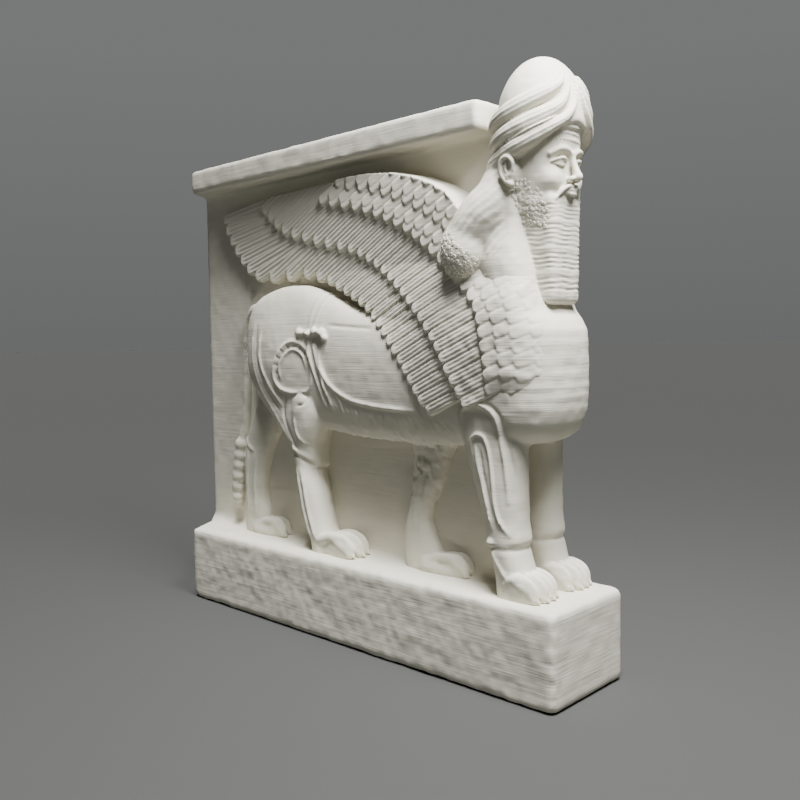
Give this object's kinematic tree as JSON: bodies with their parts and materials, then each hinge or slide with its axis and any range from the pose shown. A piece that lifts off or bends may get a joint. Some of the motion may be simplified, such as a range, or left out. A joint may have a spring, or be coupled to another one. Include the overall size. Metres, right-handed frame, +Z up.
{
  "type": "assyrian lamassu statue",
  "caption": "Small one-piece relief statue of a human-headed winged lion guardian, standing on a plinth against a slab with a ledge along its top.",
  "frame": {"origin": "middle of the bounding box on the plinth's underside, where the statue stands", "axes": "+X the way the figure faces, along the plinth; -Y the carved side; +Z up"},
  "size_m": [0.151, 0.0306, 0.1499],
  "materials": {
    "print": "matte bone white printed plastic with fine level layer lines"
  },
  "bodies": {
    "root": {"lamassu": "print"}
  },
  "joints": []
}
